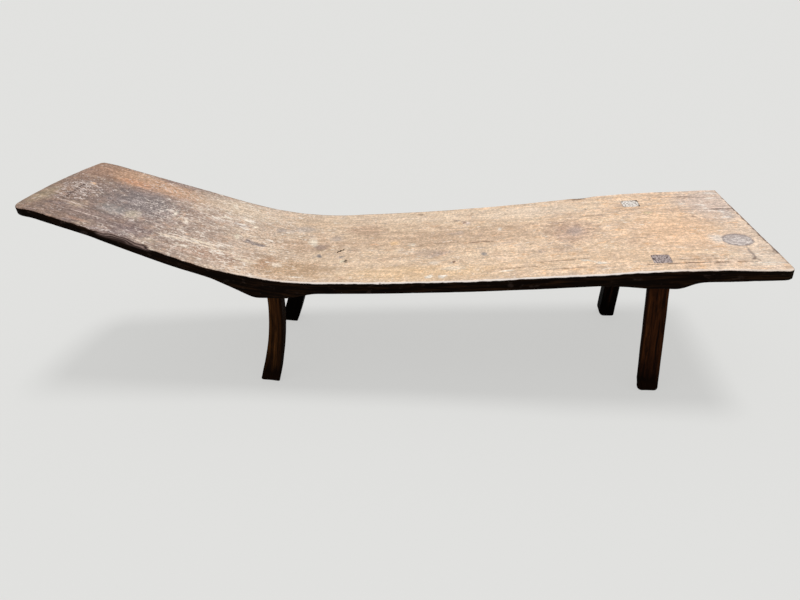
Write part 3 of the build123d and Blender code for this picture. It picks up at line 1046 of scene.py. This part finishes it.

# Each leg: how round its sole is along and across the bed, and its colours as
# lit face, dark streak (also the painted shade of its side away from the light),
# warm streak, trodden foot, and the tenon's light and dark.
leg_looks = {
    "right_head_leg": (
        0.006, 0.004, (54, 30, 12), (21, 11, 5), (82, 51, 23), (15, 8, 4), None, None,
    ),
    "left_head_leg": (
        0.004, 0.003, (15, 9, 6), (7, 4, 3), (24, 15, 10), (8, 5, 3), None, None,
    ),
    "right_foot_leg": (
        0.013, 0.008, (52, 26, 11), (19, 9, 5), (78, 43, 19), (12, 6, 3),
        (206, 190, 186), (70, 56, 56),
    ),
    "left_foot_leg": (
        0.006, 0.004, (26, 15, 10), (7, 4, 3), (56, 32, 19), (8, 4, 3),
        (255, 248, 240), (156, 143, 133),
    ),
}

# How far a head leg's sole stands out towards the foot at its right corner, from what
# height down, and how it twists there. Then how far the right foot leg's head face is
# hewn askew, and how far the left one's split goes in.
toe_out = {"right_head_leg": 0.0085, "left_head_leg": 0.005}
toe_height = 0.12
heel_height = 0.05
twist = 0.004
twist_height = 0.08
askew = 0.009
split_in = 0.01


def near_sole(heights, reach):
    """1 at the sole, 0 from a height up."""
    return np.clip(1 - heights / reach, 0, 1)


for leg_number, name in enumerate(leg_names):
    land, tenon, body = leg_sections[name]
    round_x, round_y, lit, dark, warm, trodden, end_light, end_dark = leg_looks[name]
    leg = hewn_block(name + "_wood", leg_cells, leg_cells, leg_rings)

    # The tenon: the shoulder ring first, then the bar.
    for _ in range(2):
        bpy.ops.object.mode_set(mode="EDIT")
        bpy.ops.mesh.select_all(action="DESELECT")
        bpy.ops.mesh.select_mode(type="FACE")
        shell = bmesh.from_edit_mesh(leg.data)
        crown = max(vertex.co.z for vertex in shell.verts)
        for face in shell.faces:
            face.select = all(vertex.co.z > crown - 0.01 for vertex in face.verts)
        bmesh.update_edit_mesh(leg.data)
        bpy.ops.mesh.extrude_region_move(TRANSFORM_OT_translate={"value": (0, 0, 0.5)})
        bpy.ops.object.mode_set(mode="OBJECT")

    block = points_of(leg)
    ring = -block[:, 2]
    in_tenon = ring < -0.1
    crown = ring < -0.9
    block[:, :2] = crowded(block[:, :2], 0.5)
    sole_stops = np.array([0.018, 0.012, 0.0075, 0.0045, 0.0022, 0.0008, 0.0])
    body_stops = np.linspace(body[0][0] + skin, 0.026, leg_rings + 1 - len(sole_stops))
    stop_heights = np.append(body_stops, sole_stops)
    heights = np.interp(ring, np.linspace(0, 1, leg_rings + 1), stop_heights)
    order = np.argsort(body[:, 0])
    measured = np.maximum(heights, 0.004)
    faces = [np.interp(measured, body[order, 0], body[order, side]) for side in (1, 2, 3, 4)]

    # The sole's worn rim, one corner split off the left foot leg, the right one's
    # head face hewn askew, and the head legs' soles splayed.
    for round_off, low_side, high_side in ((round_x, 0, 1), (round_y, 2, 3)):
        worn = near_sole(heights, round_off)
        drawn_in = round_off * (1 - np.sqrt(1 - worn**2))
        faces[low_side] = faces[low_side] + drawn_in
        faces[high_side] = faces[high_side] - drawn_in
    if name == "left_foot_leg":
        faces[0] = faces[0] + np.clip(split_in - heights * 0.75, 0, 0.02)
    near_part = (1 - block[:, 1]) / 2
    if name == "right_foot_leg":
        faces[0] = faces[0] - askew * near_part + np.clip(0.007 - heights * 0.45, 0, 0.02)
    if name in toe_out:
        faces[1] = faces[1] + toe_out[name] * near_part * near_sole(heights, toe_height) ** 1.3
        faces[0] = faces[0] + toe_out[name] / 2 * near_sole(heights, heel_height)
        faces[2] = faces[2] - twist * block[:, 0] * near_sole(heights, twist_height)
    x, y = bar_points(block, faces, leg_edge_radius)

    # Hewn faces, plain at the shoulder and at the sole's rim.
    centre_x, centre_y = (faces[0] + faces[1]) / 2, (faces[2] + faces[3]) / 2
    places = np.stack([x, y, heights], 1)
    hewing = leg_swell_height * (1 + ripple(places, (30, 30, 11), 9))
    hewing = hewing + leg_adze_depth * (1 - adze_cuts(places, (34, 34, 17), 5))
    hewing = hewing * np.clip((land - heights) / plain_shoulder, 0, 1)
    reach = np.hypot(x - centre_x, y - centre_y)
    x = x - (x - centre_x) / reach.clip(0.01) * hewing
    y = y - (y - centre_y) / reach.clip(0.01) * hewing

    # The tenon's own section, in line with the CAD tenon.
    tenon_top = np.full(len(ring), tenon[0][0] + tenon_top_margin)
    tenon_heights = np.where(crown, tenon_top, land)
    bar_faces = tenon_faces(name, tenon_heights)
    tx, ty = bar_points(block, bar_faces, tenon_edge_radius)
    if name == "left_foot_leg":
        wx, wy = bar_points(block, bar_faces, worn_tenon_radius)
        foot_side = block[:, 0] > 0
        tx, ty = np.where(foot_side, wx, tx), np.where(foot_side, wy, ty)
    if name.endswith("foot_leg"):
        flush = np.interp(tx, stations, top_heights) - top_wear(tx, ty) - tenon_recess
        tenon_heights = np.where(crown, flush, land)
    x = np.where(in_tenon, tx, x)
    y = np.where(in_tenon, ty, y)
    heights = np.where(in_tenon, tenon_heights, heights)
    put_points(leg, np.stack([x, y, heights], 1))
    store(leg, "bar", np.stack([block[:, 0], block[:, 1], np.where(crown, 1.0, heights)], 1))

    smooth(leg)

    # Grain up the leg, painted shade on the side away from the light, and a trodden foot.
    leg_finish, place = new_material(name + "_finish", "ShaderNodeTexCoord", "Object")
    bar = stored(place, "bar")
    beside, _, up = axes(bar)
    seed = (3.0 * leg_number, 5.0 * leg_number, leg_number)
    fibre = grains(bar, (3.4, 3.4, 7), 4, 0.68, 0.4, shift=seed)
    hair = grains(bar, (9, 9, 16), 3, 0.65, 0.3, shift=seed)
    blotch = grains(bar, (1.1, 1.1, 13), 4, 0.65, shift=seed)
    colour = mix(eased(fibre, 0.5, 0.68), lit, warm)
    colour = mix(eased(fibre, 0.5, 0.34), colour, dark)
    colour = mix(eased(blotch, 0.5, 0.3) * 0.8, colour, dark)
    # Painted shade: the side facing away from the light is mixed towards the dark colour.
    painted_shade_side = (0.66, 0.92) if name.endswith("head_leg") else (-0.7, -0.92)
    colour = mix(eased(beside, *painted_shade_side) * 0.85, colour, dark)
    foot_line = up + (blotch - 0.5) * 0.06 + (fibre - 0.5) * 0.07
    colour = mix(eased(foot_line, 0.135, 0.075) * 0.55, colour, dark)
    colour = mix(eased(foot_line, 0.08, 0.03) * 0.85, colour, trodden)
    colour = mix(eased(foot_line, 0.034, 0.018) * 0.12, colour, lit)
    colour = toned(colour, 1 + (hair - 0.5) * 0.9)
    height = (fibre - 0.5) * 0.8 + (hair - 0.5) * 0.6
    if end_light:
        # The tenon's end grain: rings across it, greyed level with the top.
        mouth = tenon_mouths[name]
        middle_x, middle_y = (mouth[0] + mouth[1]) / 2, (mouth[2] + mouth[3]) / 2
        ringed = shifted(place, (70, 70, 0), (0.008, 0.008))
        ring_share = 0.45 if name == "left_foot_leg" else 0.1
        heart = within(ringed, middle_x, middle_y, 0.0095, 0.0115)
        arcs = (heart * full_turn).math("SINE") * 0.5 + 0.5
        speck = grains(place, (215, 105, 0), 4, 0.75, 0.6)
        edge_stain = eased(within(place, middle_x, middle_y, 0.023, 0.025), 0.95, 1.3)
        end_tone = (arcs - 0.5) * ring_share + (speck - 0.5) * 3 + 0.56 - edge_stain * 0.3
        end_wood = mix(eased(end_tone, 0, 1), end_dark, end_light)
        colour = mix(eased(up, 0.965, 0.985), colour, end_wood)
        height = height + (speck - 0.5) * 0.6
    roughness = 0.64 + (hair - 0.5) * 0.3
    put_finish(leg, leg_finish, colour, roughness, 0.015, height, 0.5, 0.0012)

    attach(leg, "root")
    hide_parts(name)
